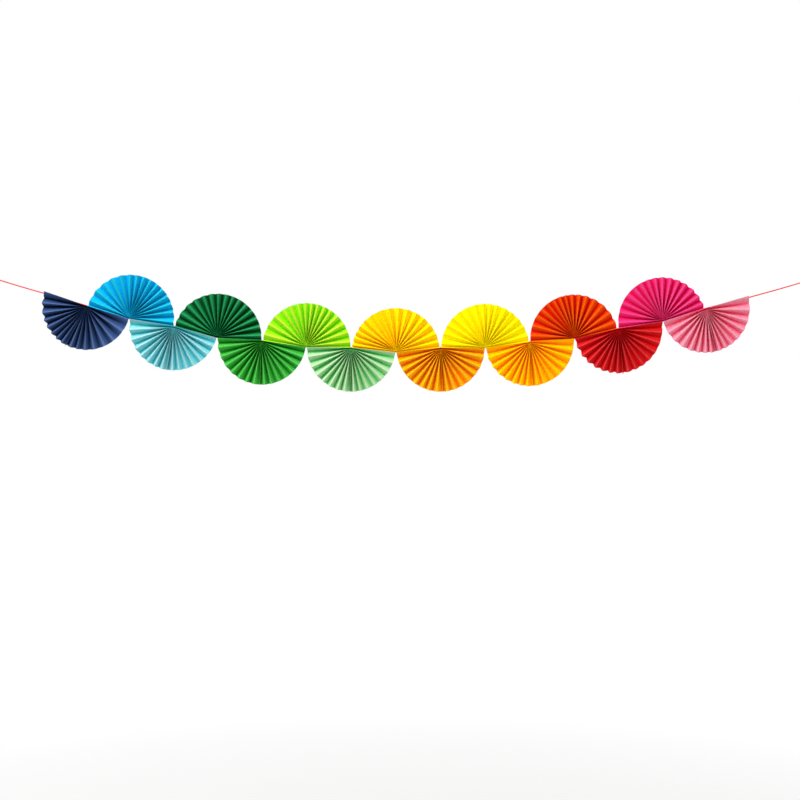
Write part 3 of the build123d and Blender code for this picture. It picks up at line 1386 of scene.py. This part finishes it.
@dataclass
class Studio:
    """The camera, the soft lights, the white room and the pale floor.

    Attributes:
        picture_pixels: How many pixels wide the picture is.
        focal_pixels: The camera's focal length, in those pixels.
        sensor_width: The camera's sensor width, in millimetres.
        distance: How far the camera is in front of the string.
        centre_x: The camera's place along the garland.
        centre_z: The height at the middle of the picture.
        level: The camera's own height, level with the garland.
        lamps: A large lamp above, in front and to the left, and a weaker one on the right.
        aim_height: The height that the lamps are turned to.
        room_light: How bright the white room is as a light.
        bounces: How often light may bounce on its way out of a pleat.
        floor_drop: How far the floor lies under the loops.
        floor_radius: The floor's radius.
        floor_sides: How many sides its round edge has.
        floor_colour: Its colour.
        floor_roughness: How matt it is.
        floor_melt: Where it starts to melt into the room, and where it has.
    """

    picture_pixels: float = 800.0
    focal_pixels: float = 1365.5
    sensor_width: float = 36.0
    distance: float = 3.1
    centre_x: float = 0.9571
    centre_z: float = -0.2869
    level: float = -0.135
    lamps: tuple[Lamp, ...] = (
        Lamp("key_lamp", (-1.3, -1.6, 2.1), (1.8, 1.0), 128.0),
        Lamp("fill_lamp", (2.2, -2.4, 0.6), (2.0, 2.0), 18.0),
    )
    aim_height: float = -0.12
    room_light: float = 0.72
    bounces: int = 10
    floor_drop: float = 1.9
    floor_radius: float = 3.4
    floor_sides: int = 96
    floor_colour: Rgba = (0.86, 0.86, 0.85, 1.0)
    floor_roughness: float = 0.9
    floor_melt: tuple[float, float] = (1.4, 3.2)

    def build(self) -> None:
        """Sets up the camera, lamps, room and floor, and how light and colour are worked out."""
        self.camera()
        for lamp in self.lamps:
            self.light(lamp)
        self.room()
        self.floor()
        scene = bpy.context.scene
        scene.cycles.diffuse_bounces = self.bounces
        scene.view_settings.view_transform = "Standard"

    def camera(self) -> None:
        """The camera, level and square to the garland."""
        data = bpy.data.cameras.new("camera")
        data.sensor_width = self.sensor_width
        data.lens = data.sensor_width * self.focal_pixels / self.picture_pixels
        rise = (self.centre_z - self.level) * self.focal_pixels / self.distance
        data.shift_y = rise / self.picture_pixels
        camera = bpy.data.objects.new("camera", data)
        camera.location = (self.centre_x, -self.distance, self.level)
        camera.rotation_euler = (math.radians(HALF_TURN / 2), 0.0, 0.0)
        bpy.context.scene.collection.objects.link(camera)
        bpy.context.scene.camera = camera

    def light(self, lamp: Lamp) -> None:
        """Sets up one lamp, turned to the middle of the garland.

        Args:
            lamp: The lamp.
        """
        data = bpy.data.lights.new(lamp.name, "AREA")
        data.shape = "RECTANGLE"
        data.size, data.size_y = lamp.size
        data.energy = lamp.power
        holder = bpy.data.objects.new(lamp.name, data)
        across, depth, height = lamp.place
        place = Vector((self.centre_x + across, depth, height))
        aim = Vector((self.centre_x, 0.0, self.aim_height)) - place
        holder.location = place
        holder.rotation_euler = aim.to_track_quat("-Z", "Y").to_euler()
        bpy.context.scene.collection.objects.link(holder)

    def room(self) -> None:
        """A white surround: white to the camera, gloss and glass, and dimmer as a light."""
        world = bpy.data.worlds.new("white_room")
        bpy.context.scene.world = world
        world.use_nodes = True
        nodes, links = world.node_tree.nodes, world.node_tree.links
        background = nodes["Background"]
        background.inputs["Color"].default_value = (1.0, 1.0, 1.0, 1.0)
        strength = nodes.new("ShaderNodeMix")
        strength.inputs["A"].default_value = self.room_light
        strength.inputs["B"].default_value = 1.0
        links.new(self.seen_ray(nodes, links), strength.inputs["Factor"])
        links.new(strength.outputs["Result"], background.inputs["Strength"])

    @staticmethod
    def seen_ray(nodes: bpy.types.Nodes, links: bpy.types.NodeLinks) -> bpy.types.NodeSocket:
        """One for a camera, glossy or transmitted ray, and zero for any other.

        Args:
            nodes: The tree's nodes.
            links: The tree's links.

        Returns:
            The socket with that value.
        """
        path = nodes.new("ShaderNodeLightPath")
        value = path.outputs["Is Camera Ray"]
        for name in ("Is Glossy Ray", "Is Transmission Ray"):
            larger = nodes.new("ShaderNodeMath")
            larger.operation = "MAXIMUM"
            links.new(value, larger.inputs[0])
            links.new(path.outputs[name], larger.inputs[1])
            value = larger.outputs[0]
        return value

    def floor(self) -> None:
        """A round pale floor under the garland, which melts into the white room."""
        deselect()
        bpy.ops.mesh.primitive_circle_add(
            vertices=self.floor_sides,
            radius=self.floor_radius,
            fill_type="NGON",
            location=(self.centre_x, 0.0, -self.floor_drop),
        )
        floor = bpy.context.active_object
        floor.name = "floor"
        tree = ShaderTree("pale_floor")
        nodes, links = tree.nodes, tree.links
        tree.shader.inputs["Base Color"].default_value = self.floor_colour
        tree.shader.inputs["Roughness"].default_value = self.floor_roughness
        glow = nodes.new("ShaderNodeEmission")
        place = nodes.new("ShaderNodeTexCoord")
        distance = nodes.new("ShaderNodeVectorMath")
        distance.operation = "LENGTH"
        links.new(place.outputs["Object"], distance.inputs[0])
        melt = nodes.new("ShaderNodeMapRange")
        for name, value in zip(("From Min", "From Max"), self.floor_melt):
            melt.inputs[name].default_value = value
        links.new(distance.outputs["Value"], melt.inputs["Value"])
        share = nodes.new("ShaderNodeMath")
        share.operation = "MULTIPLY"
        links.new(melt.outputs["Result"], share.inputs[0])
        links.new(self.seen_ray(nodes, links), share.inputs[1])
        mixed = nodes.new("ShaderNodeMixShader")
        links.new(share.outputs[0], mixed.inputs[0])
        links.new(tree.shader.outputs[0], mixed.inputs[1])
        links.new(glow.outputs[0], mixed.inputs[2])
        links.new(mixed.outputs[0], nodes["Material Output"].inputs["Surface"])
        floor.data.materials.append(tree.material)


def main() -> None:
    """Loads the frame and builds the studio, the string and the fans from left to right."""
    logging.basicConfig(level=logging.INFO, format="%(name)s: %(message)s")
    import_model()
    deselect()
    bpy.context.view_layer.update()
    Studio().build()
    route = StringRoute(StringSizes(), FANS)
    string = GarlandString(route, TwineFinish().material())
    pieces = [string.held_stretch()]
    for end in End:
        pieces += string.free_end(end)
    for number, plan in enumerate(FANS, 1):
        fan = PaperFan(plan, number)
        paper = fan.build(route)
        paper.data.materials.append(PaperFinish(plan.paper).material())
        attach(paper, "root")
        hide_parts(fan.node)
        pieces.append(paper)
    for piece in pieces:
        logger.info("%s: %d faces", piece.name, len(piece.data.polygons))
    bpy.context.view_layer.update()


if __name__ == "__main__":
    main()
